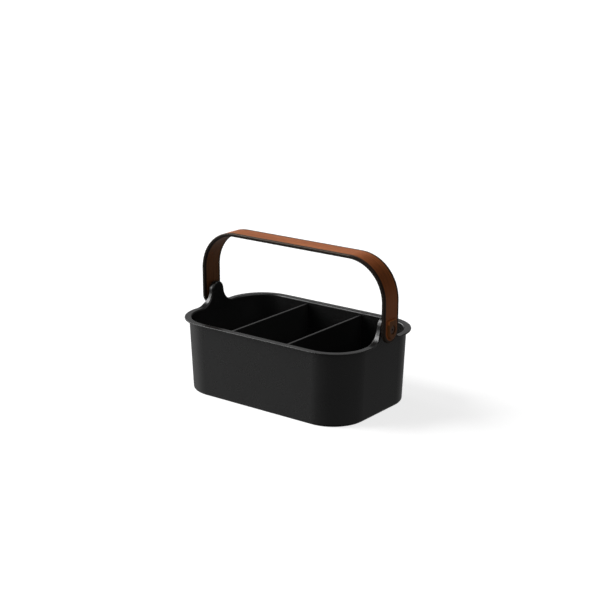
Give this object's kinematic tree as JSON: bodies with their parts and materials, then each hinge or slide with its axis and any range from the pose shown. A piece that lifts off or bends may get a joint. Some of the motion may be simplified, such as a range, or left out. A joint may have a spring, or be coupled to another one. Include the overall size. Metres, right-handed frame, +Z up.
{
  "type": "tool storage caddy",
  "caption": "Open, tapered, round-cornered bin with lift-out dividers and a bent-wood carrying handle that swings on two side pivots.",
  "frame": {"origin": "middle of the base, on the surface the caddy stands on", "axes": "+X along the bin and the handle's bar, +Y across it, +Z up"},
  "size_m": [0.2638, 0.16, 0.179],
  "materials": {
    "bin_plastic": "satin black moulding with a fine texture",
    "divider_plastic": "satin black moulding with a fine texture",
    "dark_ply": "black-stained ply edge, satin",
    "walnut_veneer": "satin lacquered red-brown veneer with a fine lengthwise grain",
    "pad_brown": "satin lacquer",
    "dark_steel": "dark bronze coating, satin",
    "bushing_nylon": "natural nylon",
    "spring_steel": "plain",
    "insert_brass": "turned"
  },
  "bodies": {
    "bin": {"bin_shell": "bin_plastic", "thread_insert_left": "insert_brass", "pivot_screw_left": "dark_steel", "friction_washer_left": "spring_steel", "thread_insert_right": "insert_brass", "pivot_screw_right": "dark_steel", "friction_washer_right": "spring_steel"},
    "handle": {"handle_core": "dark_ply", "handle_outer_veneer": "walnut_veneer", "handle_inner_veneer": "walnut_veneer", "pivot_pad_left": "pad_brown", "pivot_bushing_left": "bushing_nylon", "pivot_pad_right": "pad_brown", "pivot_bushing_right": "bushing_nylon"},
    "divider_left": {"divider_left": "divider_plastic"},
    "divider_right": {"divider_right": "divider_plastic"}
  },
  "joints": [
    {"name": "handle_swing", "type": "hinge", "parent": "bin", "child": "handle", "pos_m": [0, 0, 0.1005], "axis": [1, 0, 0], "range_deg": [-90, 90]},
    {"name": "divider_left_lift", "type": "slide", "parent": "bin", "child": "divider_left", "axis": [0, 0, 1], "range_m": [0, 0.07]},
    {"name": "divider_right_lift", "type": "slide", "parent": "bin", "child": "divider_right", "axis": [0, 0, 1], "range_m": [0, 0.07]}
  ]
}
